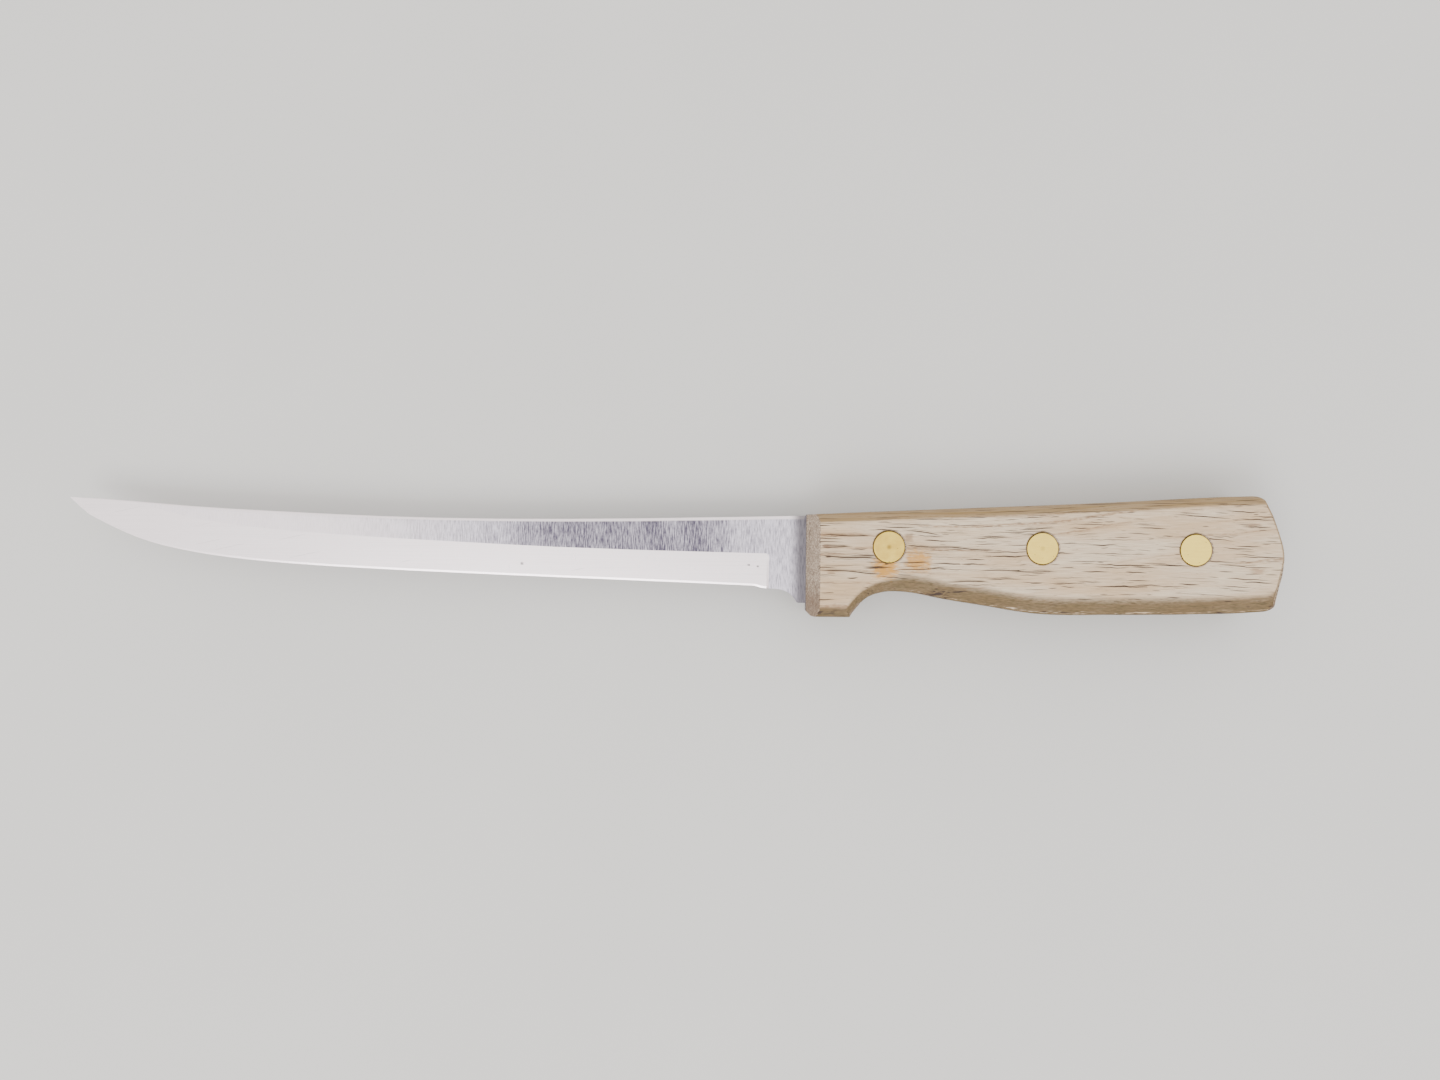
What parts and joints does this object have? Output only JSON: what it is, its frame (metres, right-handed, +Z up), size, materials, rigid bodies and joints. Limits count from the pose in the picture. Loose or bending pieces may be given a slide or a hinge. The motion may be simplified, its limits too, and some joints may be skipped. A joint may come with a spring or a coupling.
{
  "type": "boning knife",
  "caption": "Narrow upswept boning knife with a full-tang steel blade, two bleached wooden scales and flush brass rivets.",
  "frame": {"origin": "middle of the knife's box at the lower face of the handle, on which it lies on its side", "axes": "+X from the point of the blade to the butt of the handle, +Y from the cutting edge to the spine, +Z up through the knife's thickness"},
  "size_m": [0.3064, 0.0316, 0.0178],
  "materials": {
    "blade_steel": "satin, brushed across the blade",
    "handle_wood": "bleached open-grain hardwood, worn",
    "rivet_brass": "ground flush, lightly tarnished"
  },
  "bodies": {
    "root": {"blade": "blade_steel", "near_scale": "handle_wood", "far_scale": "handle_wood", "front_rivet_pin": "rivet_brass", "front_rivet_sleeve": "rivet_brass", "middle_rivet_pin": "rivet_brass", "middle_rivet_sleeve": "rivet_brass", "rear_rivet_pin": "rivet_brass", "rear_rivet_sleeve": "rivet_brass"}
  },
  "joints": []
}
